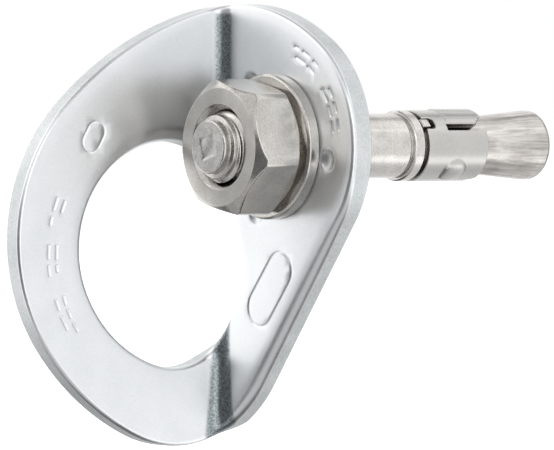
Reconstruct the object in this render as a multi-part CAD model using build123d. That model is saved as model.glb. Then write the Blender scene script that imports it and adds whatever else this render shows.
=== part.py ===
from build123d import *
import math
import os

# Bolt-on anchor point: a bent eye plate held on an expansion stud by a nut and a washer.
# Millimetres.  The stud's axis is Y and +Y goes into the wall; +Z is up; +X is to the right
# when the wall is seen from the front.  The origin is the centre of the plate's bolt hole on
# the face that rests on the wall, so the plate lies just in front of y = 0.

# ---------------------------------------------------------------- driving dimensions
# plate
PLATE_T = 3.4
BEND_DEG = 86.0
BEND_START = 9.6          # where the flat stops, left of the stud's axis
BEND_INNER_R = 2.4        # front face of the plate, which is the inside of the bend
BOLT_HOLE_D = 10.5
LOBE_R = 17.0             # rounded end of the plate about the stud
LOBE_FROM_DEG = -37.3     # where the lobe leaves the straight lower edge
# the rest of the flat outline, walked counter-clockwise: (radius, turn in degrees)
RIM_ARCS = [(LOBE_R, 95.3), (33.2, 48.1), (49.0, 29.6), (26.0, 79.7), (36.5, 30.0), (17.0, 38.0)]
RIM_LAST_TURN = 39.3
# the eye's outline in the same way, from its point nearest the stud
EYE_START = (-7.5, -16.6)
EYE_FROM_DEG = 4.3
EYE_ARCS = [(22.9, 31.6), (13.1, 78.3), (14.8, 90.1), (18.3, 49.1), (10.1, 61.3)]
EYE_LAST_TURNS = (18.5, 31.1)
# dimples pressed from the front around the bolt hole, and the bumps they raise on the back
DIMPLE_DEGS = (-9.0, 126.0, 242.0)
DIMPLE_D = 3.2
DIMPLE_DEPTH = 0.5
DIMPLE_CIRCLE_R = 10.6
DIMPLE_CENTRE_X = 0.9
BUMP_D = 2.8
BUMP_HEIGHT = 0.5

# washer and nut
WASHER_D = 20.0
WASHER_HOLE_D = 10.5
WASHER_T = 2.0
WASHER_EDGE = 0.35
NUT_FLATS = 17.0
NUT_CORNER_R = 9.57
NUT_T = 7.8
NUT_FACE_R = 8.1
NUT_CHAMFER_DEG = 40.0
NUT_CORNER_DEG = -12.5
NUT_SINK_R = 5.9
NUT_SINK_DEPTH = 1.2
NUT_BACK_SINK_R = 5.3
NUT_MINOR_R = 4.25

# thread, M10 x 1.5, right-handed; the nut's is opened by the running clearance
PITCH = 1.5
THREAD_CREST_R = 4.93
THREAD_ROOT_R = 4.1
CREST_W = 0.19
ROOT_W = 1.14
THREAD_CLEAR = 0.1
THREAD_LEAD = 0.4         # from the tip to the middle of the thread's first turn
NUT_TURNS = 7

# stud, distances along the axis measured from the wall face
SHANK_R = 4.48
TIP_PIP_R = 3.7
TIP_PIP_L = 1.1
TIP_RING_R = 4.35
TIP_CONE_L = 1.1
TIP_EDGE = 0.25
TIP_OUT = 1.9             # how far the tip stands out of the nut
THREAD_END = 6.5
COLLAR_R = 4.92
COLLAR_FROM = 17.15
COLLAR_L = 2.15
COLLAR_STEP = 0.45
COLLAR_STEP_R = 4.25
COLLAR_EDGE = 0.25
NECK_R = 3.4
CONE_END = 42.3
CONE_MAX_R = 4.88
CONE_MAX_AT = 40.9
CONE_SLOPE = 0.096
CONE_EDGE = 0.9
LUG_DEG = 44.0
LUG_W = 1.4
LUG_FROM = 19.7
LUG_L = 1.5
LUG_TOP_R = 4.75

# expansion clip
CLIP_R = 4.95
CLIP_WALL = 0.95
CLIP_FROM = 20.05
CLIP_TO = 30.65
LEAF_FROM = 23.7          # the leaves start here and are free at CLIP_TO
LEAF_GAP = 0.03           # seam between the band and a leaf
SLOT_W = 1.05
SLOT_DEG = 33.0           # middle of the first slot between two leaves
LEAF_NAMES = ["upper", "rear", "lower"]
LEAF_CUT_AX = 1.6         # cut corner at a leaf's free end, along the axis
LEAF_CUT_W = 1.3          # and around it
NOTCH_DEG = 41.5
NOTCH_W = 1.95
NOTCH_L = 1.75
NOTCH_EDGE = 0.6
BUTTON_DEG = -48.0
BUTTON_AT = 25.5
BUTTON_D = 4.2
BUTTON_HEIGHT = 0.16
PAD_FROM_DEG = 41.0
PAD_TO_DEG = 118.0
PAD_FROM = 24.0
PAD_HEIGHT = 0.14

# how far cutting and joining shapes run past the surfaces they meet
BURY = 0.1
PAST = 1.0

PLATE_FRONT = -PLATE_T
BEND_LENGTH = math.radians(BEND_DEG) * (BEND_INNER_R + PLATE_T / 2)
BEND_AXIS = Vector(-BEND_START, PLATE_FRONT - BEND_INNER_R, 0)
BLANK_REACH = 60.0
BEND_SECTIONS = 8
WASHER_FRONT = PLATE_FRONT - WASHER_T
NUT_FRONT = WASHER_FRONT - NUT_T
TIP = NUT_FRONT - TIP_OUT
THREAD_BEGIN = TIP + THREAD_LEAD
NECK_TO = CONE_MAX_AT - (CONE_MAX_R - NECK_R) / CONE_SLOPE


# ---------------------------------------------------------------- helpers
def heading(deg):
    return Vector(math.cos(math.radians(deg)), math.sin(math.radians(deg)))


def walk(start, from_deg, arcs):
    """Tangent arcs as (start, centre, radius, outward angle, turn); returns them and the end point."""
    point = Vector(*start)
    outward = from_deg
    steps = []
    for radius, turn in arcs:
        centre = point - heading(outward) * radius
        steps.append((centre, radius, outward, turn))
        outward += turn
        point = centre + heading(outward) * radius
    return steps, point, outward


def solve_two(a, b, target):
    """Lengths p, q with p*a + q*b = target."""
    det = a.X * b.Y - a.Y * b.X
    return (target.X * b.Y - target.Y * b.X) / det, (a.X * target.Y - a.Y * target.X) / det


def arc_edges(steps):
    edges = []
    for centre, radius, outward, turn in steps:
        ends = [centre + heading(outward + turn * k / 2) * radius for k in range(3)]
        edges.append(Edge.make_three_point_arc(*ends))
    return edges


def rim_steps():
    """Outer outline of the flat blank; the last arc and the straight edge close it."""
    start = heading(LOBE_FROM_DEG) * LOBE_R
    steps, point, outward = walk((start.X, start.Y), LOBE_FROM_DEG, RIM_ARCS)
    after = outward + RIM_LAST_TURN
    straight_way = heading(after + 90)
    last_r, straight = solve_two(heading(after) - heading(outward), straight_way, start - point)
    steps.append((point - heading(outward) * last_r, last_r, outward, RIM_LAST_TURN))
    return steps, start


def eye_steps():
    """Outline of the eye in the flat blank; its last two radii close it."""
    start = Vector(*EYE_START)
    steps, point, outward = walk(EYE_START, EYE_FROM_DEG, EYE_ARCS)
    middle = outward + EYE_LAST_TURNS[0]
    after = middle + EYE_LAST_TURNS[1]
    first_way = heading(middle) - heading(outward)
    second_way = heading(after) - heading(middle)
    radii = solve_two(first_way, second_way, start - point)
    more, _, _ = walk((point.X, point.Y), outward, list(zip(radii, EYE_LAST_TURNS)))
    return steps + more


def heights_at(steps, x):
    """Heights at which a closed outline of tangent arcs passes a distance x along the blank."""
    found = []
    for centre, radius, outward, turn in steps:
        if abs(x - centre.X) > radius:
            continue
        rise = math.sqrt(radius**2 - (x - centre.X) ** 2)
        for z in (centre.Y + rise, centre.Y - rise):
            way = math.degrees(math.atan2(z - centre.Y, x - centre.X))
            if (way - outward) % 360 <= turn:
                found.append(z)
    return found


def cap(width, height):
    """A spherical cap on the plane y = 0, bulging towards +Y."""
    sphere_r = (width**2 / 4 + height**2) / (2 * height)
    half = math.asin(width / 2 / sphere_r) / 2
    middle = (sphere_r * math.sin(half), height - sphere_r * (1 - math.cos(half)))
    curve = Edge.make_three_point_arc((width / 2, 0), middle, (0, height))
    flat_side = Edge.make_line((0, 0), (width / 2, 0))
    return revolve(make_face([flat_side, curve, Edge.make_line((0, height), (0, 0))]), Axis.Y, 360)


def spun(points):
    """A solid of revolution about the stud's axis from (radius, y) points."""
    return revolve(make_face(Polyline(*points, close=True)), Axis.Y, 360)


def ring(inner_r, outer_r, y_from, y_to):
    return spun([(inner_r, y_from), (outer_r, y_from), (outer_r, y_to), (inner_r, y_to)])


def around(deg):
    """Turns a shape made on +X about the stud's axis, so that deg counts from +X towards +Z."""
    return Rotation(0, -deg, 0)


def sector(from_deg, to_deg, inner_r, outer_r, y_from, y_to):
    """Part of a ring about the stud's axis."""
    corners = [(inner_r, y_from), (outer_r, y_from), (outer_r, y_to), (inner_r, y_to)]
    section = make_face(Polyline(*corners, close=True))
    return around(from_deg) * revolve(section, Axis.Y, from_deg - to_deg)


def helix_ridge(root_r, crest_r, root_w, crest_w, y_from, y_to):
    """A right-handed thread ridge along the stud's axis."""
    inside = root_r - BURY / 2
    path = Edge.make_helix(PITCH, y_to - y_from, inside)
    corners = [(inside, -root_w / 2), (crest_r, -crest_w / 2), (crest_r, crest_w / 2), (inside, root_w / 2)]
    section = Plane.XZ * make_face(Polyline(*corners, close=True))
    ridge = sweep(section, path=path, is_frenet=True)
    return Pos(0, y_from, 0) * Rotation(-90, 0, 0) * ridge


# ---------------------------------------------------------------- plate
def blank(keep_from, keep_to):
    """The flat blank with its eye, between two distances along it."""
    rim, start = rim_steps()
    edges = arc_edges(rim)
    edges.append(Edge.make_line(edges[-1] @ 1, start))
    sheet = make_face(edges) - make_face(arc_edges(eye_steps()))
    reach = 2 * BLANK_REACH
    strip = Pos((keep_from + keep_to) / 2, 0) * Rectangle(keep_to - keep_from, reach)
    return sheet & strip


def bend_leg(lower_z, upper_z):
    """One leg of the plate through the bend, between two heights given along the blank."""
    sections = []
    for k in range(BEND_SECTIONS + 1):
        share = k / BEND_SECTIONS
        angle = math.radians(BEND_DEG * share)
        way = Vector(-math.sin(angle), math.cos(angle), 0)
        x = -BEND_START - BEND_LENGTH * share
        inner = BEND_AXIS + way * (BEND_INNER_R - PAST)
        outer = BEND_AXIS + way * (BEND_INNER_R + PLATE_T + PAST)
        low = Vector(0, 0, lower_z(x))
        high = Vector(0, 0, upper_z(x))
        sections.append(Face(Wire.make_polygon([inner + low, outer + low, outer + high, inner + high])))
    return Solid.make_loft([face.outer_wire() for face in sections])


def hanger_plate():
    facing_front = Plane(origin=(0, PLATE_FRONT, 0), x_dir=(1, 0, 0), z_dir=(0, -1, 0))
    flat = extrude(facing_front * blank(-BEND_START, BLANK_REACH), -PLATE_T)

    bend = math.radians(BEND_DEG)
    along = Vector(math.cos(bend), math.sin(bend), 0)
    normal = Vector(math.sin(bend), -math.cos(bend), 0)
    bend_end = -BEND_START - BEND_LENGTH
    eye_plane = Plane(origin=BEND_AXIS - normal * BEND_INNER_R - along * bend_end, x_dir=along, z_dir=normal)
    eye_side = extrude(eye_plane * blank(-BLANK_REACH, bend_end), -PLATE_T)

    rim, _ = rim_steps()
    eye = eye_steps()
    tube = Circle(BEND_INNER_R + PLATE_T) - Circle(BEND_INNER_R)
    tube = Pos(BEND_AXIS.X, BEND_AXIS.Y, -BLANK_REACH) * extrude(tube, 2 * BLANK_REACH)
    top = bend_leg(lambda x: max(heights_at(eye, x)), lambda x: max(heights_at(rim, x)))
    bottom = bend_leg(lambda x: min(heights_at(rim, x)), lambda x: min(heights_at(eye, x)))

    plate = flat + (tube & top) + (tube & bottom) + eye_side
    plate -= Pos(0, PLATE_FRONT, 0) * Rotation(-90, 0, 0) * Cylinder(BOLT_HOLE_D / 2, 4 * PLATE_T)
    for deg in DIMPLE_DEGS:
        at = heading(deg) * DIMPLE_CIRCLE_R + Vector(DIMPLE_CENTRE_X, 0)
        plate += Pos(at.X, 0, at.Y) * cap(BUMP_D, BUMP_HEIGHT)
        plate -= Pos(at.X, PLATE_FRONT, at.Y) * cap(DIMPLE_D, DIMPLE_DEPTH)
    return plate


# ---------------------------------------------------------------- washer and nut
def flat_washer():
    e = WASHER_EDGE
    r_in = WASHER_HOLE_D / 2
    r_out = WASHER_D / 2
    return spun(
        [
            (r_in, WASHER_FRONT),
            (r_out - e, WASHER_FRONT),
            (r_out, WASHER_FRONT + e),
            (r_out, PLATE_FRONT - e),
            (r_out - e, PLATE_FRONT),
            (r_in, PLATE_FRONT),
        ]
    )


def hex_nut():
    across = NUT_FLATS / math.cos(math.radians(30))
    corner = Rotation(0, -NUT_CORNER_DEG, 0) * Rotation(-90, 0, 0)
    prism = corner * extrude(RegularPolygon(across / 2, 6), NUT_T)
    prism = Pos(0, NUT_FRONT, 0) * prism
    drop = (NUT_CORNER_R - NUT_FACE_R) * math.tan(math.radians(NUT_CHAMFER_DEG))
    envelope = spun(
        [
            (0, NUT_FRONT),
            (NUT_FACE_R, NUT_FRONT),
            (NUT_CORNER_R, NUT_FRONT + drop),
            (NUT_CORNER_R, WASHER_FRONT - drop),
            (NUT_FACE_R, WASHER_FRONT),
            (0, WASHER_FRONT),
        ]
    )
    bore = spun(
        [
            (0, NUT_FRONT),
            (NUT_SINK_R, NUT_FRONT),
            (NUT_MINOR_R, NUT_FRONT + NUT_SINK_DEPTH),
            (NUT_MINOR_R, WASHER_FRONT - NUT_SINK_DEPTH / 2),
            (NUT_BACK_SINK_R, WASHER_FRONT),
            (0, WASHER_FRONT),
        ]
    )
    groove = helix_ridge(
        THREAD_ROOT_R,
        THREAD_CREST_R + THREAD_CLEAR,
        ROOT_W + 2 * THREAD_CLEAR,
        CREST_W + 2 * THREAD_CLEAR,
        THREAD_BEGIN,
        THREAD_BEGIN + NUT_TURNS * PITCH,
    )
    return (prism & envelope) - bore - groove


# ---------------------------------------------------------------- stud
def stud_profile(thread_r):
    """Half section of the stud as (radius, y), with the threaded length at the given radius."""
    return [
        (0, TIP),
        (TIP_PIP_R - TIP_EDGE, TIP),
        (TIP_PIP_R, TIP + TIP_EDGE),
        (TIP_PIP_R, TIP + TIP_PIP_L),
        (min(thread_r, TIP_RING_R), TIP + TIP_PIP_L + TIP_EDGE),
        (thread_r, TIP + TIP_PIP_L + TIP_CONE_L),
        (thread_r, THREAD_END - (SHANK_R - THREAD_ROOT_R)),
        (SHANK_R, THREAD_END),
        (SHANK_R, COLLAR_FROM),
        (COLLAR_STEP_R, COLLAR_FROM),
        (COLLAR_STEP_R, COLLAR_FROM + COLLAR_STEP),
        (COLLAR_R - COLLAR_EDGE, COLLAR_FROM + COLLAR_STEP),
        (COLLAR_R, COLLAR_FROM + COLLAR_STEP + COLLAR_EDGE),
        (COLLAR_R, COLLAR_FROM + COLLAR_L),
        (NECK_R, COLLAR_FROM + COLLAR_L),
        (NECK_R, NECK_TO),
        (CONE_MAX_R, CONE_MAX_AT),
        (CONE_MAX_R, CONE_END - CONE_EDGE),
        (CONE_MAX_R - CONE_EDGE, CONE_END),
        (0, CONE_END),
    ]


def anchor_stud():
    core = spun(stud_profile(THREAD_ROOT_R))
    envelope = spun(stud_profile(THREAD_CREST_R))
    ridge_to = THREAD_END + PITCH
    ridge = helix_ridge(THREAD_ROOT_R, THREAD_CREST_R, ROOT_W, CREST_W, THREAD_BEGIN, ridge_to)
    lug = Box(LUG_TOP_R, LUG_L, LUG_W)
    lug = around(LUG_DEG) * Pos(LUG_TOP_R / 2, LUG_FROM + LUG_L / 2, 0) * lug
    return core + (ridge & envelope) + lug


# ---------------------------------------------------------------- expansion clip
def clip_band():
    band = ring(CLIP_R - CLIP_WALL, CLIP_R, CLIP_FROM, LEAF_FROM - LEAF_GAP)
    notch = Box(CLIP_R, NOTCH_L, NOTCH_W)
    notch = fillet(notch.edges().filter_by(Axis.X), NOTCH_EDGE)
    notch = around(NOTCH_DEG) * Pos(CLIP_R, CLIP_FROM + NOTCH_L / 2, 0) * notch
    mouth = around(NOTCH_DEG) * Pos(CLIP_R, CLIP_FROM, 0) * Box(CLIP_R, NOTCH_L, NOTCH_W)
    return band - notch - mouth


def clip_leaf(number):
    """One of the three spring leaves; the slots between them are parallel-sided."""
    from_deg = SLOT_DEG + 120 * number
    to_deg = from_deg + 120
    inner_r = CLIP_R - CLIP_WALL
    leaf = sector(from_deg, to_deg, inner_r, CLIP_R, LEAF_FROM, CLIP_TO)
    if number == 0:
        leaf += sector(PAD_FROM_DEG, PAD_TO_DEG, CLIP_R - BURY, CLIP_R + PAD_HEIGHT, PAD_FROM, CLIP_TO)
    else:
        disc = Rotation(0, 90, 0) * Cylinder(BUTTON_D / 2, 2 * CLIP_WALL)
        disc = around(BUTTON_DEG + 120 * (number + 1)) * Pos(CLIP_R, BUTTON_AT, 0) * disc
        leaf += disc & ring(CLIP_R - BURY, CLIP_R + BUTTON_HEIGHT, LEAF_FROM, CLIP_TO)
    for side in (from_deg, to_deg):
        leaf -= around(side) * Pos(CLIP_R, CLIP_TO, 0) * Box(2 * CLIP_R, CLIP_TO, SLOT_W)
    corner_from = (inner_r - CLIP_WALL, CLIP_TO - LEAF_CUT_AX, SLOT_W / 2)
    across_wall = Plane(origin=corner_from, x_dir=(0, 1, 0), z_dir=(1, 0, 0))
    corner = make_face(Polyline((0, 0), (LEAF_CUT_AX, 0), (LEAF_CUT_AX, LEAF_CUT_W), close=True))
    return leaf - around(from_deg) * extrude(across_wall * corner, 3 * CLIP_WALL)


def build_parts():
    """Every named piece with its solid."""
    yield "hanger_plate", hanger_plate()
    yield "anchor_stud", anchor_stud()
    yield "hex_nut", hex_nut()
    yield "flat_washer", flat_washer()
    yield "clip_band", clip_band()
    for number, leaf_name in enumerate(LEAF_NAMES):
        yield "clip_leaf_" + leaf_name, clip_leaf(number)


os.makedirs("parts", exist_ok=True)
for node, solid in build_parts():
    export_step(solid, "parts/" + node + ".step")
    print("wrote", node)
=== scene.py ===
import math

import bmesh
import bpy
import numpy as np
from mathutils import Matrix, Vector
from mathutils.geometry import delaunay_2d_cdt


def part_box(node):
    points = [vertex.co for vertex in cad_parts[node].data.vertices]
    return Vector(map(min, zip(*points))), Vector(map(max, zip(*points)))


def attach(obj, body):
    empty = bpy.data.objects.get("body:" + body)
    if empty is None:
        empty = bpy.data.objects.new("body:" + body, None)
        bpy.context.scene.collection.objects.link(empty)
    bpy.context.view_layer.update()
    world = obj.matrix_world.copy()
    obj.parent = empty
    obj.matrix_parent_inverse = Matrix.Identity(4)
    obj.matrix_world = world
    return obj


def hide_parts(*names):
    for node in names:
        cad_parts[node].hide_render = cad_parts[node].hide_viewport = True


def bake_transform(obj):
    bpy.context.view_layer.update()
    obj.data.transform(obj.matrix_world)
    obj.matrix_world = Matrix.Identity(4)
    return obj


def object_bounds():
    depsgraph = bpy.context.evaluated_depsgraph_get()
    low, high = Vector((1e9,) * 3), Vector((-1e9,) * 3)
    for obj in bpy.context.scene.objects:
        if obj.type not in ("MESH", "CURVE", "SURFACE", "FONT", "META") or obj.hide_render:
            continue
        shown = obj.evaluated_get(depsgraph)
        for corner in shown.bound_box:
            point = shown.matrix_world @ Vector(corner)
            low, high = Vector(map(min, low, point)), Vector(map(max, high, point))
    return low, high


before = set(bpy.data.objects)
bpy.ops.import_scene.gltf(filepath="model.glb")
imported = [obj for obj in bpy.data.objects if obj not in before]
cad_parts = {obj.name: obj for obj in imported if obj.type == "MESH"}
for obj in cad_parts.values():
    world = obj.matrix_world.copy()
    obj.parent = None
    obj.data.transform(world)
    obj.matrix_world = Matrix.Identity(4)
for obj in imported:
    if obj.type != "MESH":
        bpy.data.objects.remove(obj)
cad_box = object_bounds()

# Shapes are worked out in millimetres and turned into metres where a mesh is made.
MM = 0.001
rng = np.random.default_rng(7)


def span_mm(node):
    """Lowest and highest y of a CAD node, in millimetres."""
    low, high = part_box(node)
    return low.y / MM, high.y / MM


WASHER_FRONT, PLATE_FRONT = span_mm("flat_washer")
NUT_FRONT, NUT_BACK = span_mm("hex_nut")
TIP, CONE_END = span_mm("anchor_stud")
CLIP_FROM = span_mm("clip_band")[0]
LEAF_FROM, CLIP_TO = span_mm("clip_leaf_lower")
PLATE_T = -PLATE_FRONT

# plate: bend, and the arcs of its flat outline and of its eye as (radius, turn in degrees)
BEND_DEG = 86.0
BEND_START = 9.6
BEND_INNER_R = 2.4
BOLT_HOLE_R = 5.25
LOBE_R = 17.0
LOBE_FROM_DEG = -37.3
RIM_ARCS = [(LOBE_R, 95.3), (33.2, 48.1), (49.0, 29.6), (26.0, 79.7), (36.5, 30.0), (17.0, 38.0)]
RIM_LAST_TURN = 39.3
EYE_START = (-7.5, -16.6)
EYE_FROM_DEG = 4.3
EYE_ARCS = [(22.9, 31.6), (13.1, 78.3), (14.8, 90.1), (18.3, 49.1), (10.1, 61.3)]
EYE_LAST_TURNS = (18.5, 31.1)
DIMPLE_DEGS = (-9.0, 126.0, 242.0)
DIMPLE_R = 1.6
DIMPLE_DEPTH = 0.5
DIMPLE_CIRCLE_R = 10.6
DIMPLE_CENTRE_X = 0.9
BUMP_R = 1.4
BUMP_HEIGHT = 0.5
# rounding of the plate's edges, and the slow roll of the front face towards the rim and the eye
RIM_EDGE_R = 0.6
RIM_EDGE_MORE = 0.75
EYE_EDGE_R = 0.75
BACK_EDGE_R = 0.35
HOLE_EDGE_R = 0.25
RIM_ROLL = 0.08
EYE_ROLL = 0.1
ROLL_L = 1.5

# plain marks on the front of the plate, laid out on the flat blank: double rows of dashes, and outlines
MARK_DEPTH = 0.14
MARK_ROW = 1.3
DASH_LENGTHS = (0.7, 1.9)
DASH_HALF_W = 0.3
DASH_GAP = 0.45
MARK_ARCS = (  # centre, radius, first and last angle
    ((-22.0, -15.0), 19.4, 156, 170),
    ((-22.0, -15.0), 19.2, 175, 193),
    ((-22.0, -15.0), 18.9, 197, 219),
    ((0.0, 0.0), 13.7, 50, 76),
    ((0.0, 0.0), 13.5, 9, 41),
)
MARK_OUTLINES = (  # centre, angle, length, radius, points in each round end
    ((-1.0, -19.6), 51, 6.6, 2.6, 16),
    ((-34.6, 1.2), 60, 1.6, 1.4, 10),
)

# nut and washer
NUT_FLATS = 17.0
NUT_CORNER_R = 9.57
NUT_FACE_R = 8.1
NUT_CHAMFER_DEG = 40.0
NUT_CORNER_DEG = -12.5
NUT_SINK_R = 5.9
NUT_SINK_DEPTH = 1.2
NUT_BACK_SINK_R = 5.3
NUT_MINOR_R = 4.25
WASHER_R = 10.0
WASHER_HOLE_R = 5.25

# thread and stud
PITCH = 1.5
THREAD_CREST_R = 4.93
THREAD_ROOT_R = 4.1
CREST_W = 0.19
ROOT_W = 1.14
THREAD_CLEAR = 0.1
THREAD_LEAD = 0.4
THREAD_END = 6.5
SHANK_R = 4.48
COLLAR_R = 4.92
COLLAR_FROM = 17.15
COLLAR_STEP = 0.45
COLLAR_STEP_R = 4.25
COLLAR_TO = 19.3
NECK_R = 3.4
CONE_MAX_R = 4.88
CONE_MAX_AT = 40.9
CONE_SLOPE = 0.096
PIP_R = 3.7
PIP_L = 1.1
TIP_DENT = 0.14
TIP_DENT_DEG = 14
LUG_DEG = 44.0
LUG_SIZE = (1.35, 1.5, 1.4)
LUG_TOP_R = 4.75
LUG_EDGE = 0.28
LUG_FROM = 19.7

# expansion clip
CLIP_R = 4.95
CLIP_WALL = 0.95
SLOT_W = 1.05
SLOT_DEG = 33.0
NOTCH_DEG = 41.5
NOTCH_W = 1.95
NOTCH_L = 1.75
NOTCH_EDGE = 0.6
CLIP_CORNER = 0.2
CLIP_LIP = 0.22
SEAM_CORNER = 0.02
SEAM_GAP = 0.01
LEAVES = ("upper", "rear", "lower")
LEAF_CORNER = 0.3
LEAF_CUT_W = 1.3          # cut corner at a leaf's free end, around the stud
LEAF_CUT_L = 1.6          # and along it
PAD_DEGS = (40, 43, 116, 119)
PAD_FROM = (23.9, 24.2)
PAD_HEIGHT = 0.14
BUTTON_DEG = -48
BUTTON_AT = 25.5
BUTTON_R = 2.1
BUTTON_HEIGHT = 0.38

BEND_AXIS = (-BEND_START, PLATE_FRONT - BEND_INNER_R)
BEND_LENGTH = math.radians(BEND_DEG) * (BEND_INNER_R + PLATE_T / 2)

# mesh: where the ring that keeps a flat face flat beside a rounded edge stands, in radii of that edge,
# and the smallest triangle that is kept
GUARD = 1.25
SMALLEST_AREA = 1e-6


# ---------------------------------------------------------------- shared mesh code
def heading(deg):
    a = np.radians(deg)
    return np.stack([np.cos(a), np.sin(a)], -1)


def new_piece(name, points, faces, materials, face_materials=None):
    """A smooth-shaded mesh object from points in millimetres."""
    mesh = bpy.data.meshes.new(name)
    mesh.from_pydata((np.asarray(points) * MM).tolist(), [], faces)
    mesh.update()
    for material in materials:
        mesh.materials.append(material)
    if face_materials is not None:
        mesh.polygons.foreach_set("material_index", np.asarray(face_materials, np.int32))
    mesh.polygons.foreach_set("use_smooth", np.ones(len(mesh.polygons), bool))
    piece = bpy.data.objects.new(name, mesh)
    bpy.context.scene.collection.objects.link(piece)
    turn_outward(piece)
    return piece


def turn_outward(piece):
    """All faces look out of the closed mesh."""
    work = bmesh.new()
    work.from_mesh(piece.data)
    bmesh.ops.recalc_face_normals(work, faces=work.faces)
    work.to_mesh(piece.data)
    work.free()


class Loop:
    """A closed outline in a flat sheet: points, and at each one the way into the sheet's material."""

    def __init__(self, points, inward):
        self.points = np.asarray(points, float)
        self.inward = np.asarray(inward, float)

    def moved_in(self, distance):
        return self.points + self.inward * np.asarray(distance).reshape(-1, 1)


def arcs_loop(arcs, spacing, material_inside):
    """A closed outline from (centre, radius, outward angle, turn) arcs and straight gaps between them."""
    points, inward = [], []
    side = -1.0 if material_inside else 1.0
    for k, (centre, radius, outward, turn) in enumerate(arcs):
        count = max(3, round(math.radians(turn) * radius / spacing))
        degs = outward + turn * np.arange(count) / count
        points.extend(centre + heading(degs) * radius)
        inward.extend(side * heading(degs))
        end = centre + heading(outward + turn) * radius
        follow = arcs[(k + 1) % len(arcs)]
        start = follow[0] + heading(follow[2]) * follow[1]
        gap = np.linalg.norm(start - end)
        if gap > spacing:
            steps = round(gap / spacing)
            for j in range(steps):
                points.append(end + (start - end) * j / steps)
                inward.append(side * heading(outward + turn))
    return Loop(points, inward)


def rounded_loop(corners, spacing):
    """A closed outline, counter-clockwise, from (x, y, radius) corners."""
    points, inward = [], []
    count = len(corners)
    for k in range(count):
        before = np.array(corners[k - 1][:2])
        here = np.array(corners[k][:2])
        after = np.array(corners[(k + 1) % count][:2])
        radius = corners[k][2]
        way_in = (here - before) / np.linalg.norm(here - before)
        way_out = (after - here) / np.linalg.norm(after - here)
        turn = math.atan2(way_in[0] * way_out[1] - way_in[1] * way_out[0], way_in @ way_out)
        set_back = radius * math.tan(abs(turn) / 2)
        start = here - way_in * set_back
        left = np.array([-way_in[1], way_in[0]])
        centre = start + left * radius * math.copysign(1, turn)
        steps = max(4, round(abs(turn) * radius / spacing))
        for j in range(steps + 1):
            a = turn * j / steps
            spin = np.array([[math.cos(a), -math.sin(a)], [math.sin(a), math.cos(a)]])
            points.append(centre + spin @ (start - centre))
            inward.append(spin @ left)
        end = here + way_out * set_back
        next_radius = corners[(k + 1) % count][2]
        beyond = np.array(corners[(k + 2) % count][:2])
        way_beyond = (beyond - after) / np.linalg.norm(beyond - after)
        next_turn = math.atan2(way_out[0] * way_beyond[1] - way_out[1] * way_beyond[0], way_out @ way_beyond)
        stop = after - way_out * next_radius * math.tan(abs(next_turn) / 2)
        gap = np.linalg.norm(stop - end)
        steps = int(gap / spacing)
        for j in range(1, steps):
            points.append(end + (stop - end) * j / steps)
            inward.append(np.array([-way_out[1], way_out[0]]))
    return Loop(points, inward)


def inside(loops, points):
    """True where a point is inside an odd number of the loops."""
    odd = np.zeros(len(points), bool)
    x, y = points[:, 0], points[:, 1]
    for loop in loops:
        for a, b in zip(loop, np.roll(loop, -1, 0)):
            if a[1] == b[1]:
                continue
            crosses = ((a[1] > y) != (b[1] > y)) & (x < (b[0] - a[0]) * (y - a[1]) / (b[1] - a[1]) + a[0])
            odd ^= crosses
    return odd


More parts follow.
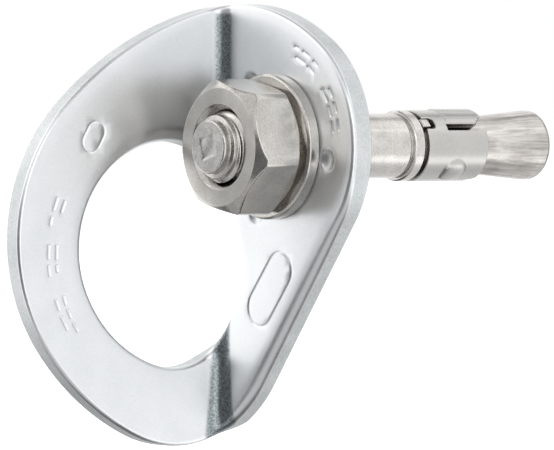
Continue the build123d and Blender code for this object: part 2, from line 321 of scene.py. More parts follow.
class Sheet:
    """A sheet-metal piece built flat, as points (along, up, depth below the front face)."""

    def __init__(self):
        self.points = []
        self.faces = []
        self.kinds = []

    def ring(self, flat, depth):
        depth = np.broadcast_to(depth, len(flat))
        first = len(self.points)
        self.points.extend([x, y, w] for (x, y), w in zip(flat, depth))
        return list(range(first, first + len(flat)))

    def strip(self, one, two, kind=0):
        count = len(one)
        for k in range(count):
            j = (k + 1) % count
            self.faces.append((one[k], one[j], two[j], two[k]))
            self.kinds.append(kind)

    def edge(self, loop, front_r, back_r, thickness, roll=0.0, arc_steps=6):
        """The rounded edge round a loop, from the front face to the back; returns its outermost rings."""
        front_r = np.broadcast_to(front_r, len(loop.points))
        back_r = np.broadcast_to(back_r, len(loop.points))
        rings = []
        if roll > 0:
            for share in (1.0, 0.8, 0.6, 0.4, 0.2):
                reach = front_r + ROLL_L * share
                rings.append(self.ring(loop.moved_in(reach), roll * (1 - share) ** 2))
        else:
            rings.append(self.ring(loop.moved_in(front_r * GUARD), 0.0))
        for k in range(arc_steps + 1):
            a = math.pi / 2 * k / arc_steps
            depth = roll + front_r * (1 - math.cos(a))
            rings.append(self.ring(loop.moved_in(front_r * (1 - math.sin(a))), depth))
        wall_from = roll + front_r
        wall_to = thickness - back_r
        for share in (0.04, 0.5, 0.96):
            rings.append(self.ring(loop.points, wall_from + (wall_to - wall_from) * share))
        wall_rings = range(len(rings) - 4, len(rings))
        for k in range(arc_steps + 1):
            a = math.pi / 2 * k / arc_steps
            depth = thickness - back_r * (1 - math.sin(a))
            rings.append(self.ring(loop.moved_in(back_r * (1 - math.cos(a))), depth))
        rings.append(self.ring(loop.moved_in(back_r * GUARD), thickness))
        for k in range(len(rings) - 1):
            self.strip(rings[k], rings[k + 1], 1 if k in wall_rings else 0)
        return rings[0], rings[-1]

    def cup(self, centre, profile, count=40):
        """Rings round a centre from (radius, depth) pairs, closed at the last; returns the first ring."""
        circle = heading(np.arange(count) * 360 / count)
        rings = [self.ring(np.asarray(centre) + circle * r, depth) for r, depth in profile]
        for one, two in zip(rings, rings[1:]):
            self.strip(one, two)
        self.faces.append(tuple(rings[-1]))
        self.kinds.append(0)
        return rings[0]

    def fill(self, loops, grid, depth, clear):
        """Triangles between rings of points already made, through the grid points that lie in between."""
        flat = np.array(self.points)[:, :2]
        outlines = [flat[loop] for loop in loops]
        grid = grid[inside(outlines, grid)]
        edge_points = np.concatenate(outlines)
        near = np.array([np.min(np.sum((edge_points - g) ** 2, 1)) for g in grid])
        grid = grid[near > clear**2]
        ids = [i for loop in loops for i in loop] + self.ring(grid, depth)
        links, first = [], 0
        for loop in loops:
            count = len(loop)
            links += [(first + k, first + (k + 1) % count) for k in range(count)]
            first += count
        coords = [Vector(p) for p in np.array(self.points)[ids, :2]]
        _, _, triangles, origins, _, _ = delaunay_2d_cdt(coords, links, [], 0, 1e-7)
        own = [o[0] for o in origins]
        triangles = np.array([[own[i] for i in t] for t in triangles])
        corners = np.array(coords)[triangles]
        one, two = corners[:, 1] - corners[:, 0], corners[:, 2] - corners[:, 0]
        area = np.abs(one[:, 0] * two[:, 1] - one[:, 1] * two[:, 0]) / 2
        for t in triangles[inside(outlines, corners.mean(1)) & (area > SMALLEST_AREA)]:
            self.faces.append(tuple(ids[i] for i in t))
            self.kinds.append(0)


# ---------------------------------------------------------------- materials
def node_tools(tree):
    def add(kind, **values):
        node = tree.nodes.new(kind)
        for key, value in values.items():
            if key in node.inputs:
                node.inputs[key].default_value = value
            else:
                setattr(node, key, value)
        return node

    def link(out, into):
        tree.links.new(out, into)

    return add, link


def ramp(tree, value, from_min, from_max, to_min, to_max, form="SMOOTHSTEP"):
    """A value moved from one range to another; returns the output socket."""
    add, link = node_tools(tree)
    node = add("ShaderNodeMapRange", interpolation_type=form)
    node.inputs["From Min"].default_value = from_min
    node.inputs["From Max"].default_value = from_max
    node.inputs["To Min"].default_value = to_min
    node.inputs["To Max"].default_value = to_max
    link(value, node.inputs["Value"])
    return node.outputs["Result"]


def two_tones(tree, value, low_at, low, high_at, high):
    """A colour that goes from one tone to another as a value rises; returns the output socket."""
    add, link = node_tools(tree)
    node = add("ShaderNodeValToRGB")
    for stop, at, tone in zip(node.color_ramp.elements, (low_at, high_at), (low, high)):
        stop.position = at
        stop.color = (*tone, 1)
    link(value, node.inputs["Fac"])
    return node.outputs["Color"]


# painted shade inside the bend: a dark strip painted into the steel's colour, standing in for the dark
# reflection
# there: its middle line, half width, faded edge and two tones; it ends below the top rim and grows wider
# between two heights towards the bottom
BEND_SHADE_DEG = 34.5
BEND_SHADE_AT = (BEND_AXIS[0] - BEND_INNER_R * math.sin(math.radians(BEND_SHADE_DEG)),
           BEND_AXIS[1] + BEND_INNER_R * math.cos(math.radians(BEND_SHADE_DEG)))
BEND_SHADE_REACH = 0.86
BEND_SHADE_SOFT = 0.7
BEND_SHADE_DARK = (0.16, 0.185, 0.195)
BEND_SHADE_LIGHT = (0.40, 0.44, 0.455)
BEND_SHADE_TOP = (17.9, 18.5)
BEND_SHADE_WIDENS = (-27.0, -41.0)
BEND_SHADE_WIDER = 1.0


def painted_bend_shade(tree, place, grain):
    """Painted shade in the bend: a mask where the dark reflection is painted, and its dark, grainy colour.
    """
    add, link = node_tools(tree)
    flat_place = add("ShaderNodeVectorMath", operation="MULTIPLY")
    flat_place.inputs[1].default_value = (1, 1, 0)
    link(place.outputs["Object"], flat_place.inputs[0])
    away = add("ShaderNodeVectorMath", operation="DISTANCE")
    away.inputs[1].default_value = (BEND_SHADE_AT[0] * MM, BEND_SHADE_AT[1] * MM, 0)
    link(flat_place.outputs["Vector"], away.inputs[0])
    height = add("ShaderNodeSeparateXYZ")
    link(place.outputs["Object"], height.inputs["Vector"])
    widen_from, widen_to = (z * MM for z in BEND_SHADE_WIDENS)
    wider = ramp(tree, height.outputs["Z"], widen_from, widen_to, 0, BEND_SHADE_WIDER * MM, "LINEAR")
    near = add("ShaderNodeMath", operation="SUBTRACT")
    link(away.outputs["Value"], near.inputs[0])
    link(wider, near.inputs[1])
    # painted shade: full on the strip's middle line, fading at its edge
    shade_mask = ramp(tree, near.outputs[0], BEND_SHADE_REACH * MM, (BEND_SHADE_REACH + BEND_SHADE_SOFT) * MM, 1, 0)
    # the dark, grainy tone of the painted shade
    shade_tone = two_tones(tree, grain.outputs["Fac"], 0.38, BEND_SHADE_DARK, 0.64, BEND_SHADE_LIGHT)
    below_rim = ramp(tree, height.outputs["Z"], BEND_SHADE_TOP[0] * MM, BEND_SHADE_TOP[1] * MM, 1, 0)
    both = add("ShaderNodeMath", operation="MULTIPLY")
    link(shade_mask, both.inputs[0])
    link(below_rim, both.inputs[1])
    return both.outputs[0], shade_tone


# the part of the noise's range that goes from the dark tone to the light one
TONE_FROM = 0.3
TONE_TO = 0.7


def steel(name, dark, light, rough, grain_mm, grain_height, cloud_mm=6.0, streak=None, bend=False):
    """Bare stainless steel: fine grain, slow clouds of tone and roughness, optional fine streaks, and
    optional painted shade in the bend.
    """
    material = bpy.data.materials.new(name)
    material.use_nodes = True
    tree = material.node_tree
    tree.nodes.clear()
    add, link = node_tools(tree)
    out = add("ShaderNodeOutputMaterial")
    shader = add("ShaderNodeBsdfPrincipled", Metallic=1.0)
    link(shader.outputs["BSDF"], out.inputs["Surface"])
    place = add("ShaderNodeTexCoord")

    clouds = add("ShaderNodeTexNoise", Scale=1 / (cloud_mm * MM), Detail=4.0, Roughness=0.55)
    link(place.outputs["Object"], clouds.inputs["Vector"])
    grain = add("ShaderNodeTexNoise", Scale=1 / (grain_mm * MM), Detail=3.0, Roughness=0.6)
    source = place.outputs["Object"]
    if streak is not None:
        stretch = add("ShaderNodeMapping")
        stretch.inputs["Scale"].default_value = streak
        link(place.outputs["Object"], stretch.inputs["Vector"])
        source = stretch.outputs["Vector"]
    link(source, grain.inputs["Vector"])

    mix_tone = add("ShaderNodeMath", operation="MULTIPLY_ADD")
    mix_tone.inputs[1].default_value = 0.5
    link(grain.outputs["Fac"], mix_tone.inputs[0])
    half = add("ShaderNodeMath", operation="MULTIPLY")
    half.inputs[1].default_value = 0.5
    link(clouds.outputs["Fac"], half.inputs[0])
    link(half.outputs[0], mix_tone.inputs[2])
    colour = two_tones(tree, mix_tone.outputs[0], TONE_FROM, dark, TONE_TO, light)
    # with bend, painted shade: a dark, grainy strip mixed into the colour inside the plate's bend
    if bend:
        shade_mask, shade_tone = painted_bend_shade(tree, place, grain)
        # a colour mix takes its factor in socket 0, its colours in 6 and 7, and gives the result in 2
        blend = add("ShaderNodeMix", data_type="RGBA")
        link(shade_mask, blend.inputs[0])
        link(colour, blend.inputs[6])
        link(shade_tone, blend.inputs[7])
        colour = blend.outputs[2]
    link(colour, shader.inputs["Base Color"])

    roughness = ramp(tree, mix_tone.outputs[0], TONE_FROM, TONE_TO, *rough, "LINEAR")
    link(roughness, shader.inputs["Roughness"])

    bump = add("ShaderNodeBump", Strength=1.0, Distance=grain_height * MM)
    link(grain.outputs["Fac"], bump.inputs["Height"])
    link(bump.outputs["Normal"], shader.inputs["Normal"])
    return material


# the plate's steel carries painted shade in its bend
PLATE_STEEL = steel("plate_steel", (0.66, 0.675, 0.685), (0.79, 0.805, 0.815), (0.27, 0.37), 0.24, 0.009,
                    bend=True)
PLATE_EDGE = steel("plate_edge", (0.46, 0.485, 0.49), (0.76, 0.78, 0.785), (0.42, 0.55), 0.34, 0.050)
NUT_STEEL = steel("nut_steel", (0.36, 0.34, 0.315), (0.65, 0.63, 0.60), (0.15, 0.27), 0.24, 0.010,
                  cloud_mm=4.5)
STUD_STEEL = steel("stud_steel", (0.42, 0.40, 0.38), (0.72, 0.70, 0.67), (0.20, 0.32), 0.34, 0.006,
                   cloud_mm=2.2)
CONE_STEEL = steel("cone_steel", (0.20, 0.18, 0.165), (0.76, 0.73, 0.695), (0.18, 0.32), 0.42, 0.016,
                   streak=(1, 0.03, 1))
CLIP_STEEL = steel("clip_steel", (0.45, 0.44, 0.42), (0.54, 0.53, 0.51), (0.26, 0.32), 0.3, 0.004)


# ---------------------------------------------------------------- hanger plate
def walk(start, from_deg, arcs):
    """Tangent arcs from a start point, as (centre, radius, outward angle, turn)."""
    point = np.array(start, float)
    outward = from_deg
    steps = []
    for radius, turn in arcs:
        centre = point - heading(outward) * radius
        steps.append((centre, radius, outward, turn))
        outward += turn
        point = centre + heading(outward) * radius
    return steps, point, outward


def rim_arcs():
    start = heading(LOBE_FROM_DEG) * LOBE_R
    steps, point, outward = walk(start, LOBE_FROM_DEG, RIM_ARCS)
    after = outward + RIM_LAST_TURN
    ways = np.stack([heading(after) - heading(outward), heading(after + 90)], 1)
    last_r, _ = np.linalg.solve(ways, start - point)
    steps.append((point - heading(outward) * last_r, last_r, outward, RIM_LAST_TURN))
    return steps


def eye_arcs():
    steps, point, outward = walk(EYE_START, EYE_FROM_DEG, EYE_ARCS)
    middle = outward + EYE_LAST_TURNS[0]
    after = middle + EYE_LAST_TURNS[1]
    ways = np.stack([heading(middle) - heading(outward), heading(after) - heading(middle)], 1)
    radii = np.linalg.solve(ways, np.array(EYE_START) - point)
    more, _, _ = walk(point, outward, list(zip(radii, EYE_LAST_TURNS)))
    return steps + more


def bend_sheet(points):
    """Flat blank (along, up, depth) to its place in space: flat, then round the bend, then straight."""
    along, up, depth = np.asarray(points, float).T
    run = np.clip(-BEND_START - along, 0, BEND_LENGTH)
    angle = run / BEND_LENGTH * math.radians(BEND_DEG)
    beyond = np.minimum(along + BEND_START + run, 0)
    before = np.maximum(along + BEND_START, 0)
    reach = BEND_INNER_R + depth
    x = BEND_AXIS[0] - np.sin(angle) * reach + beyond * np.cos(angle) + before
    y = BEND_AXIS[1] + np.cos(angle) * reach + beyond * np.sin(angle)
    return np.stack([x, y, up], 1)


def edge_rounding(points):
    """Front edge radius: small round the lobe and the eye side, large along the lower right edge."""
    along, up = points.T
    soft = 1 / (1 + np.exp((up + 9) / 2.5))
    soft *= 1 / (1 + np.exp((-14 - along) / 2.0))
    return RIM_EDGE_R + RIM_EDGE_MORE * soft


def plate_grid():
    """Grid for the faces of the plate, closer together along the blank where it bends."""
    flat_step, bend_step = 1.1, 0.3
    bend_from, bend_to = -BEND_START + 0.6, -BEND_START - BEND_LENGTH - 0.6
    along = np.concatenate([
        np.arange(-46, bend_to, flat_step),
        np.arange(bend_to, bend_from, bend_step),
        np.arange(bend_from, 18, flat_step),
    ])
    up = np.arange(-43, 20, flat_step)
    return np.array([(a + 0.013 * (k % 2), u) for a in along for k, u in enumerate(up)])


def dimple_profile(radius, depth, base, way):
    """(radius, depth) pairs of a spherical dent with a slightly rounded lip."""
    sphere_r = (radius**2 + depth**2) / (2 * depth)
    drop = sphere_r - depth
    pairs = [(radius + 0.32, base), (radius + 0.16, base + way * 0.006), (radius + 0.05, base + way * 0.04)]
    for share in (0.96, 0.88, 0.76, 0.6, 0.42, 0.24, 0.1):
        r = radius * share
        pairs.append((r, base + way * (math.sqrt(sphere_r**2 - r**2) - drop)))
    return pairs


def stadium(centre, deg, length, radius, steps=7):
    """Outline of a straight slot with round ends."""
    way = heading(deg) * length / 2
    turn = np.linspace(-90, 90, steps)
    ends = (centre + way + heading(deg + turn) * radius, centre - way + heading(deg + 180 + turn) * radius)
    return np.concatenate(ends)


def dash(sheet, centre, deg, length):
    """One short engraved stroke; returns its outer ring."""
    rings = [sheet.ring(stadium(centre, deg, length, r), depth * MARK_DEPTH)
             for r, depth in ((DASH_HALF_W, 0), (0.25, 0.15), (0.15, 0.85), (0.05, 1))]
    for one, two in zip(rings, rings[1:]):
        sheet.strip(one, two)
    sheet.faces.append(tuple(rings[-1]))
    sheet.kinds.append(0)
    return rings[0]


def outline_mark(sheet, centre, deg, length, radius, steps):
    """An engraved outline of a slot; returns its outer and inner rings."""
    rings = [sheet.ring(stadium(centre, deg, length, radius + off, steps), depth * MARK_DEPTH)
             for off, depth in ((0.26, 0), (0.20, 0.15), (0.08, 1), (-0.08, 1), (-0.20, 0.15), (-0.26, 0))]
    for one, two in zip(rings, rings[1:]):
        sheet.strip(one, two)
    return [rings[0], rings[-1]]


def plain_marks(sheet):
    """Dashes and blank outlines in the places that carry markings; they spell nothing."""
    loops = []
    for centre, radius, from_deg, to_deg in MARK_ARCS:
        for row in (-MARK_ROW / 2, MARK_ROW / 2):
            deg = from_deg
            while True:
                length = rng.uniform(*DASH_LENGTHS)
                half = math.degrees((length / 2 + DASH_HALF_W) / radius)
                if deg + 2 * half > to_deg:
                    break
                middle = np.array(centre) + heading(deg + half) * (radius + row)
                loops.append(dash(sheet, middle, deg + half + 90, length))
                deg += 2 * half + math.degrees(DASH_GAP / radius)
    for centre, deg, length, radius, steps in MARK_OUTLINES:
        loops += outline_mark(sheet, np.array(centre), deg, length, radius, steps)
    return loops


def hanger_plate():
    sheet = Sheet()
    rim = arcs_loop(rim_arcs(), 0.4, True)
    eye = arcs_loop(eye_arcs(), 0.35, False)
    hole = arcs_loop([(np.zeros(2), BOLT_HOLE_R, 0, 360)], 0.35, False)
    rim_front, rim_back = sheet.edge(rim, edge_rounding(rim.points), BACK_EDGE_R, PLATE_T, roll=RIM_ROLL)
    eye_front, eye_back = sheet.edge(eye, EYE_EDGE_R, BACK_EDGE_R, PLATE_T, roll=EYE_ROLL)
    hole_front, hole_back = sheet.edge(hole, HOLE_EDGE_R, HOLE_EDGE_R, PLATE_T)
    fronts, backs = [rim_front, eye_front, hole_front], [rim_back, eye_back, hole_back]
    for deg in DIMPLE_DEGS:
        centre = heading(deg) * DIMPLE_CIRCLE_R + np.array([DIMPLE_CENTRE_X, 0])
        fronts.append(sheet.cup(centre, dimple_profile(DIMPLE_R, DIMPLE_DEPTH, 0.0, 1)))
        backs.append(sheet.cup(centre, dimple_profile(BUMP_R, BUMP_HEIGHT, PLATE_T, 1)))
    fronts += plain_marks(sheet)
    grid = plate_grid()
    clear = 0.25
    sheet.fill(fronts, grid, 0.0, clear)
    sheet.fill(backs, grid, PLATE_T, clear)
    plate = new_piece("hanger_plate_skin", bend_sheet(sheet.points), sheet.faces,
                      [PLATE_STEEL, PLATE_EDGE], sheet.kinds)
    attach(plate, "hanger")
    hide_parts("hanger_plate")


# ---------------------------------------------------------------- turned pieces
def rounded_profile(corners, steps=5, guard=0.06):
    """(radius, y) points of a turned section, from (radius, y, rounding) corners; the ends stay sharp."""
    points = [np.array(corners[0][:2])]
    for k in range(1, len(corners) - 1):
        before, here, after = (np.array(corners[j][:2], float) for j in (k - 1, k, k + 1))
        radius = corners[k][2]
        way_in = (here - before) / np.linalg.norm(here - before)
        way_out = (after - here) / np.linalg.norm(after - here)
        cross = way_in[0] * way_out[1] - way_in[1] * way_out[0]
        turn = math.atan2(cross, way_in @ way_out)
        if radius <= 0 or abs(turn) < 1e-3:
            points.append(here)
            continue
        set_back = radius * math.tan(abs(turn) / 2)
        start = here - way_in * set_back
        left = np.array([-way_in[1], way_in[0]])
        centre = start + left * radius * math.copysign(1, turn)
        if np.linalg.norm(start - points[-1]) > 3 * guard:
            points.append(start - way_in * guard)
        for j in range(steps + 1):
            a = turn * j / steps
            spin = np.array([[math.cos(a), -math.sin(a)], [math.sin(a), math.cos(a)]])
            points.append(centre + spin @ (start - centre))
        if np.linalg.norm(after - here) - set_back > 3 * guard:
            points.append(here + way_out * (set_back + guard))
    points.append(np.array(corners[-1][:2]))
    return points


def refined(points, step):
    """The same section with long runs cut into steps."""
    out = [points[0]]
    for a, b in zip(points, points[1:]):
        count = max(1, int(np.linalg.norm(b - a) / step))
        out += [a + (b - a) * (k + 1) / count for k in range(count)]
    return out


def turned(name, profile, degs, materials, shape=None, kinds=None, closed=False):
    """A piece turned about the stud's axis; shape(radius, y, angles) may change each ring.
    An open section starts and ends on the axis; a closed one comes back to its start."""
    degs = np.asarray(degs, float)
    count = len(degs)
    a = np.radians(degs)
    points, faces, face_kinds = [], [], []

    def add_ring(radius, y):
        radii, ys = (np.full(count, radius), np.full(count, y)) if shape is None else shape(radius, y, a)
        first = len(points)
        points.extend(np.stack([radii * np.cos(a), ys, radii * np.sin(a)], 1))
        return first

    inner = profile if closed else profile[1:-1]
    firsts = [add_ring(r, y) for r, y in inner]
    pairs = list(zip(firsts, firsts[1:])) + ([(firsts[-1], firsts[0])] if closed else [])
    for k, (one, two) in enumerate(pairs):
        for j in range(count):
            i = (j + 1) % count
            faces.append((one + j, one + i, two + i, two + j))
            face_kinds.append(0 if kinds is None else kinds(inner[k][0], inner[k][1]))
    if not closed:
        for first, (r, y) in ((firsts[0], profile[0]), (firsts[-1], profile[-1])):
            centre = len(points)
            shift = 0.0 if shape is None else shape(np.float64(r), y, np.zeros(1))[1][0] - y
            points.append(np.array([0, y + shift, 0]))
            for j in range(count):
                faces.append((centre, first + j, first + (j + 1) % count))
                face_kinds.append(0 if kinds is None else kinds(r, y))
    return new_piece(name, points, faces, materials, face_kinds)


def thread_radius(y, a, clear=0.0):
    """Radius of the right-hand thread's surface, opened by the clearance for the nut."""
    turn = (y - (TIP + THREAD_LEAD)) / PITCH + a / (2 * math.pi)
    off = np.abs(turn - np.round(turn)) * PITCH
    crest_half = CREST_W / 2 + clear
    root_half = ROOT_W / 2 + clear
    share = np.clip((root_half - off) / (root_half - crest_half), 0, 1)
    return THREAD_ROOT_R + (THREAD_CREST_R + clear - THREAD_ROOT_R) * share


def smooth_min(a, b, width):
    h = np.maximum(width - np.abs(a - b), 0) / width
    return np.minimum(a, b) - h * h * width / 4


def flat_washer():
    back = PLATE_FRONT
    section = rounded_profile([
        (7.5, WASHER_FRONT, 0),
        (WASHER_R - 0.35, WASHER_FRONT, 0.3),
        (WASHER_R, WASHER_FRONT + 0.3, 0.3),
        (WASHER_R, back - 0.25, 0.25),
        (WASHER_R - 0.25, back, 0.25),
        (WASHER_HOLE_R + 0.1, back, 0.08),
        (WASHER_HOLE_R, back - 0.1, 0.08),
        (WASHER_HOLE_R, WASHER_FRONT + 0.2, 0.15),
        (WASHER_HOLE_R + 0.2, WASHER_FRONT, 0.15),
        (7.4, WASHER_FRONT, 0),
    ])
    washer = turned("flat_washer_skin", section, np.arange(0, 360, 1.5), [NUT_STEEL], closed=True)
    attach(washer, "washer")
    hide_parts("flat_washer")


def nut_angles():
    """Angles round the nut, closer together at its six corners."""
    near = np.array([0.0, 0.25, 0.5, 0.8, 1.1, 1.5, 2.0, 2.6, 3.4, 4.4, 6, 8, 11, 14.5, 18, 22, 26, 30])
    one = np.concatenate([near, 60 - near[-2:0:-1]])
    return np.concatenate([one + 60 * k for k in range(6)]) + NUT_CORNER_DEG


def hex_nut():
    half = NUT_FLATS / 2
    slope = math.tan(math.radians(90 - NUT_CHAMFER_DEG))

    def shape(radius, y, a):
        """The outer wall follows the hexagon and its chamfer cones; the bore follows the thread."""
        if radius > NUT_FACE_R - 0.01:
            degs = (np.degrees(a) - NUT_CORNER_DEG) % 60
            flat = half / np.cos(np.radians(degs - 30))
            other = half / np.cos(np.radians(30 + np.minimum(degs, 60 - degs)))
            hexagon = smooth_min(flat, other, 0.16)
            hexagon = smooth_min(hexagon, np.full_like(a, NUT_CORNER_R), 0.1)
            depth = min(y - NUT_FRONT, NUT_BACK - y)
            cone = np.full_like(a, NUT_FACE_R + depth * slope)
            return smooth_min(hexagon, cone, 0.12), np.full_like(a, y)
        if radius < NUT_MINOR_R + 0.01:
            cut = thread_radius(y, a, THREAD_CLEAR)
            return np.maximum(cut, NUT_MINOR_R), np.full_like(a, y)
        return np.full_like(a, radius), np.full_like(a, y)

    fine = np.concatenate([np.arange(0.0, 0.2, 0.02), np.arange(0.2, 1.6, 0.06)])
    depths = np.concatenate([fine, [2.2, 3.2], NUT_BACK - NUT_FRONT - fine[::-1]])
    wall = [np.array([NUT_FACE_R + 0.05, NUT_FRONT + d]) for d in depths]
    front = rounded_profile([
        (NUT_MINOR_R, NUT_FRONT + NUT_SINK_DEPTH + 0.1, 0),
        (NUT_MINOR_R, NUT_FRONT + NUT_SINK_DEPTH, 0),
        (NUT_SINK_R, NUT_FRONT, 0.12),
        (NUT_FACE_R - 0.1, NUT_FRONT, 0),
    ])
    back = rounded_profile([
        (NUT_FACE_R - 0.1, NUT_BACK, 0),
        (NUT_BACK_SINK_R, NUT_BACK, 0.1),
        (NUT_MINOR_R, NUT_BACK - 0.6, 0),
    ])
    bore_ys = np.arange(NUT_BACK - 0.7, NUT_FRONT + NUT_SINK_DEPTH + 0.1, -0.1)
    bore = [np.array([NUT_MINOR_R, y]) for y in bore_ys]
    section = front[1:] + wall + back + bore
    nut = turned("hex_nut_skin", section, nut_angles(), [NUT_STEEL], shape=shape, closed=True)
    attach(nut, "nut")
    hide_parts("hex_nut")


def smooth_step(value, low, high):
    t = np.clip((value - low) / (high - low), 0, 1)
    return t * t * (3 - 2 * t)


def tip_dent(x, z):
    """Depth of the shallow square-edged dent left in the end of the stud."""
    turn = math.radians(TIP_DENT_DEG)
    across = np.maximum(np.abs(x * math.cos(turn) + z * math.sin(turn)),
                        np.abs(z * math.cos(turn) - x * math.sin(turn)))
    return TIP_DENT * (1 - smooth_step(across, 1.25, 1.6)) * (1 + 0.35 * np.sin(1.9 * x - 1.3 * z))


def anchor_stud():
    ring_at = TIP + PIP_L
    neck_to = CONE_MAX_AT - (CONE_MAX_R - NECK_R) / CONE_SLOPE
    section = rounded_profile([
        (0, TIP, 0),
        (PIP_R, TIP, 0.28),
        (PIP_R, ring_at, 0.12),
        (4.3, ring_at + 0.12, 0.2),
        (4.45, ring_at + 0.7, 0.2),
        (THREAD_CREST_R, ring_at + 1.1, 0.1),
        (THREAD_CREST_R, THREAD_END - 0.8, 0.1),
        (SHANK_R, THREAD_END, 0.1),
        (SHANK_R, COLLAR_FROM, 0.2),
        (COLLAR_STEP_R, COLLAR_FROM + 0.15, 0.1),
        (COLLAR_STEP_R, COLLAR_FROM + COLLAR_STEP, 0.08),
        (COLLAR_R - 0.22, COLLAR_FROM + COLLAR_STEP, 0.15),
        (COLLAR_R, COLLAR_FROM + COLLAR_STEP + 0.25, 0.2),
        (COLLAR_R, COLLAR_TO, 0.12),
        (NECK_R, COLLAR_TO, 0.1),
        (NECK_R, neck_to, 2.0),
        (CONE_MAX_R - 0.05, CONE_MAX_AT - 0.6, 3.0),
        (CONE_MAX_R, CONE_END, 0.85),
        (0, CONE_END, 0),
    ])
    section = refined(section, 0.16)

    def shape(radius, y, a):
        radii = np.full_like(a, radius)
        ys = np.full_like(a, y)
        if y == TIP:
            ys = ys + tip_dent(radius * np.cos(a), radius * np.sin(a))
        if ring_at + 0.9 < y < THREAD_END - 0.1 and radius > THREAD_ROOT_R:
            radii = np.minimum(radii, np.maximum(thread_radius(y, a), THREAD_ROOT_R))
        return radii, ys

    def kinds(radius, y):
        return 1 if y > COLLAR_TO + 1 else 0

    stud = turned("anchor_stud_skin", section, np.arange(0, 360, 1.8), [STUD_STEEL, CONE_STEEL],
                  shape=shape, kinds=kinds)
    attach(stud, "stud")
    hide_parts("anchor_stud")


# ---------------------------------------------------------------- expansion clip
def wrap_sheet(points):
    """Flat clip sheet (round the stud, along it, depth) to its place round the stud."""
    around, along, depth = np.asarray(points, float).T
    a = around / CLIP_R
    radius = CLIP_R - depth
    return np.stack([radius * np.cos(a), along, radius * np.sin(a)], 1)


def clip_piece(name, node, corners, seam, raise_surface):
    """Part of the clip from its flat outline; the edge at the seam between band and leaves stays sharp."""
    sheet = Sheet()
    loop = rounded_loop(corners, 0.16)
    edge_r = np.clip(np.abs(loop.points[:, 1] - seam) * 0.7, 0.004, 0.13)
    front, back = sheet.edge(loop, edge_r, edge_r, CLIP_WALL, arc_steps=4)
    low, high = loop.points.min(0), loop.points.max(0)
    step, clear = 0.22, 0.1
    rounds = np.arange(low[0], high[0], step)
    alongs = np.arange(low[1], high[1], step)
    grid = np.array([(x, y) for x in rounds for y in alongs])
    sheet.fill([front], grid, 0.0, clear)
    sheet.fill([back], grid, CLIP_WALL, clear)
    points = np.array(sheet.points)
    on_front = points[:, 2] < CLIP_WALL / 2
    points[on_front, 2] -= raise_surface(points[on_front, 0] / CLIP_R, points[on_front, 1])
    piece = new_piece(name, wrap_sheet(points), sheet.faces, [CLIP_STEEL])
    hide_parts(node)
    return piece


def no_raise(a, y):
    return np.zeros_like(a)


def clip_band():
    from_a = math.radians(SLOT_DEG + 120 - 360) * CLIP_R + SEAM_GAP
    to_a = math.radians(SLOT_DEG + 120) * CLIP_R - SEAM_GAP
    notch = math.radians(NOTCH_DEG) * CLIP_R
    corners = [
        (from_a, CLIP_FROM, CLIP_CORNER),
        (notch - NOTCH_W / 2, CLIP_FROM, CLIP_LIP),
        (notch - NOTCH_W / 2, CLIP_FROM + NOTCH_L, NOTCH_EDGE),
        (notch + NOTCH_W / 2, CLIP_FROM + NOTCH_L, NOTCH_EDGE),
        (notch + NOTCH_W / 2, CLIP_FROM, CLIP_LIP),
        (to_a, CLIP_FROM, CLIP_CORNER),
        (to_a, LEAF_FROM, SEAM_CORNER),
        (from_a, LEAF_FROM, SEAM_CORNER),
    ]
    band = clip_piece("clip_band_skin", "clip_band", corners, LEAF_FROM, no_raise)
    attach(band, "clip")


def leaf_raise(number):
    """How far a leaf's outer face stands proud: a pressed pad on the first, a round button on the others."""

    def pad(a, y):
        degs = np.degrees(a)
        sides = smooth_step(degs, *PAD_DEGS[:2]) * (1 - smooth_step(degs, *PAD_DEGS[2:]))
        area = sides * smooth_step(y, *PAD_FROM)
        ridges = 0.75 + 0.25 * np.cos(np.radians(degs) * 60)
        return PAD_HEIGHT * area * ridges

    def button(a, y):
        middle = math.radians(BUTTON_DEG + 120 * (number + 1))
        off = np.angle(np.exp(1j * (a - middle))) * CLIP_R
        distance = np.sqrt(off**2 + (y - BUTTON_AT) ** 2) / BUTTON_R
        return BUTTON_HEIGHT * np.sqrt(np.clip(1 - distance**2, 0, 1))

    return pad if number == 0 else button


def clip_leaf(number):
    half = SLOT_W / 2
    from_a = math.radians(SLOT_DEG + 120 * number) * CLIP_R + half
    to_a = math.radians(SLOT_DEG + 120 * (number + 1)) * CLIP_R - half
    corners = [
        (from_a, LEAF_FROM, SEAM_CORNER),
        (to_a, LEAF_FROM, SEAM_CORNER),
        (to_a, CLIP_TO, LEAF_CORNER),
        (from_a + LEAF_CUT_W, CLIP_TO, LEAF_CORNER),
        (from_a, CLIP_TO - LEAF_CUT_L, LEAF_CORNER),
    ]
    name = "clip_leaf_" + LEAVES[number]
    leaf = clip_piece(name + "_skin", name, corners, LEAF_FROM, leaf_raise(number))
    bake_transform(leaf)


def neck_lug():
    """The small block on the neck that stands in the clip's notch."""
    work = bmesh.new()
    bmesh.ops.create_cube(work, size=1.0)
    bmesh.ops.scale(work, vec=Vector(LUG_SIZE), verts=work.verts)
    bmesh.ops.bevel(work, geom=work.edges[:], offset=LUG_EDGE, segments=4, profile=0.6, affect="EDGES")
    turn = Matrix.Rotation(math.radians(-LUG_DEG), 4, "Y")
    place = turn @ Matrix.Translation(Vector((LUG_TOP_R - LUG_SIZE[0] / 2, LUG_FROM + LUG_SIZE[1] / 2, 0)))
    points = [place @ v.co for v in work.verts]
    faces = [[v.index for v in f.verts] for f in work.faces]
    work.free()
    lug = new_piece("neck_lug", points, faces, [STUD_STEEL])
    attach(lug, "stud")


# ---------------------------------------------------------------- stage
# how bright the surroundings look to the object, in front and behind, and the share left underneath
FRONT_GLOW = 0.2
BACK_GLOW = 0.55
GROUND_SHARE = 0.3

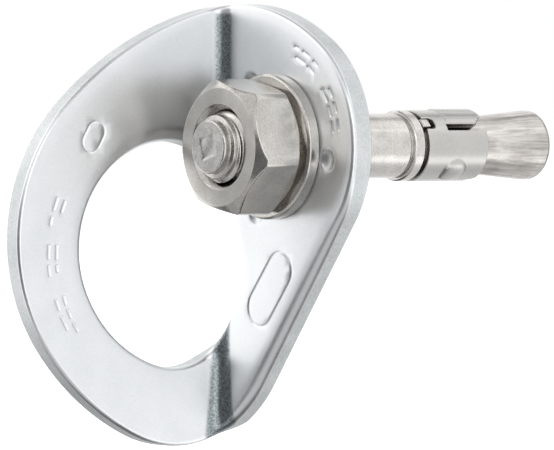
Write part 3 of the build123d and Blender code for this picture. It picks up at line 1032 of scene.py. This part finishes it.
LIGHT_DISTANCE = 1.2
SOFTBOXES = (  # name, azimuth, elevation, width and height in degrees, glow
    ("left_box", -62, 8, 60, 84, 1.2),
    ("left_back_box", -118, 8, 52, 84, 0.68),
    ("right_box", 119, 4, 90, 92, 0.64),
    ("right_low_strip", 122, -37, 56, 20, 0.6),
    ("right_high_strip", 150, 50, 60, 24, 0.5),
    ("side_strip", 58, 2, 32, 70, 1.45),
    ("front_box", 8, 42, 90, 50, 0.85),
    ("low_box", 20, -58, 90, 40, 0.6),
    ("low_back_box", 180, -50, 60, 36, 0.6),
    ("top_box", 200, 74, 60, 50, 0.4),
)

CAMERA_AZIMUTH, CAMERA_ELEVATION, CAMERA_ROLL = 51.5, 1.5, 0.42
CAMERA_DISTANCE = 1.1
CAMERA_LENS = 521.8
CAMERA_SHIFT = (0.26 * MM, 10.75 * MM)   # right and down

FLOOR_DROP = 0.012                       # metres below the object
FLOOR_R = 3.0


def studio():
    """Surroundings dark in front and paler behind; the camera itself sees plain white."""
    scene = bpy.context.scene
    scene.view_settings.view_transform = "Standard"
    world = bpy.data.worlds.new("studio")
    scene.world = world
    world.use_nodes = True
    tree = world.node_tree
    tree.nodes.clear()
    add, link = node_tools(tree)
    out = add("ShaderNodeOutputWorld")
    way = add("ShaderNodeTexCoord")
    parts = add("ShaderNodeSeparateXYZ")
    link(way.outputs["Generated"], parts.inputs[0])
    depth = ramp(tree, parts.outputs["Y"], -0.5, 0.3, FRONT_GLOW, BACK_GLOW)
    ground = ramp(tree, parts.outputs["Z"], -0.9, -0.5, GROUND_SHARE, 1)
    glow = add("ShaderNodeMath", operation="MULTIPLY")
    link(depth, glow.inputs[0])
    link(ground, glow.inputs[1])
    around = add("ShaderNodeBackground", Color=(0.98, 0.99, 1.0, 1))
    link(glow.outputs[0], around.inputs["Strength"])
    seen = add("ShaderNodeBackground", Color=(1, 1, 1, 1), Strength=1.0)
    path = add("ShaderNodeLightPath")
    mix = add("ShaderNodeMixShader")
    link(path.outputs["Is Camera Ray"], mix.inputs[0])
    link(around.outputs[0], mix.inputs[1])
    link(seen.outputs[0], mix.inputs[2])
    link(mix.outputs[0], out.inputs["Surface"])


def softbox(name, azimuth, elevation, width_deg, height_deg, glow):
    """A rectangular soft light aimed at the object and sized by the angles that it fills."""
    width = 2 * LIGHT_DISTANCE * math.tan(math.radians(width_deg / 2))
    height = 2 * LIGHT_DISTANCE * math.tan(math.radians(height_deg / 2))
    data = bpy.data.lights.new(name, "AREA")
    data.shape = "RECTANGLE"
    data.size, data.size_y = width, height
    data.energy = glow * math.pi * width * height
    light = bpy.data.objects.new(name, data)
    bpy.context.scene.collection.objects.link(light)
    a, e = math.radians(azimuth), math.radians(elevation)
    way = Vector((math.sin(a) * math.cos(e), -math.cos(a) * math.cos(e), math.sin(e)))
    light.location = way * LIGHT_DISTANCE
    light.rotation_mode = "QUATERNION"
    light.rotation_quaternion = way.to_track_quat("Z", "Y")
    light.visible_camera = False


def camera():
    """The camera stands to the right of the stud's axis, a little above it."""
    azimuth, elevation, roll = (math.radians(d) for d in (CAMERA_AZIMUTH, CAMERA_ELEVATION, CAMERA_ROLL))
    shift_right, shift_down = CAMERA_SHIFT
    back = Vector((math.sin(azimuth) * math.cos(elevation), -math.cos(azimuth) * math.cos(elevation),
                   math.sin(elevation)))
    right = Vector((math.cos(azimuth), math.sin(azimuth), 0))
    up = back.cross(right)
    right, up = (right * math.cos(roll) + up * math.sin(roll), up * math.cos(roll) - right * math.sin(roll))
    data = bpy.data.cameras.new("camera")
    data.lens = CAMERA_LENS
    data.sensor_width = 36.0
    data.clip_start = 0.05
    data.clip_end = 20.0
    eye = bpy.data.objects.new("camera", data)
    bpy.context.scene.collection.objects.link(eye)
    place = Vector((0, PLATE_FRONT * MM, 0)) + back * CAMERA_DISTANCE + right * shift_right - up * shift_down
    turn = Matrix((right, up, back)).transposed().to_4x4()
    eye.matrix_world = Matrix.Translation(place) @ turn
    bpy.context.scene.camera = eye


def floor():
    """A plain pale floor, which the object's metal does not reflect."""
    low, _ = cad_box
    height = low.z - FLOOR_DROP
    count = 64
    turns = [2 * math.pi * k / count for k in range(count)]
    points = [(FLOOR_R * math.cos(t), FLOOR_R * math.sin(t), height) for t in turns]
    mesh = bpy.data.meshes.new("floor")
    mesh.from_pydata(points, [], [list(range(count))])
    piece = bpy.data.objects.new("floor", mesh)
    bpy.context.scene.collection.objects.link(piece)
    material = bpy.data.materials.new("floor_paint")
    material.use_nodes = True
    shader = material.node_tree.nodes["Principled BSDF"]
    shader.inputs["Base Color"].default_value = (0.9, 0.9, 0.9, 1)
    shader.inputs["Roughness"].default_value = 0.9
    shader.inputs["Emission Color"].default_value = (1, 1, 1, 1)
    shader.inputs["Emission Strength"].default_value = 0.9
    mesh.materials.append(material)
    piece.visible_glossy = False


hanger_plate()
flat_washer()
hex_nut()
anchor_stud()
neck_lug()
clip_band()
for leaf_number in range(len(LEAVES)):
    clip_leaf(leaf_number)

studio()
for box in SOFTBOXES:
    softbox(*box)
camera()
floor()
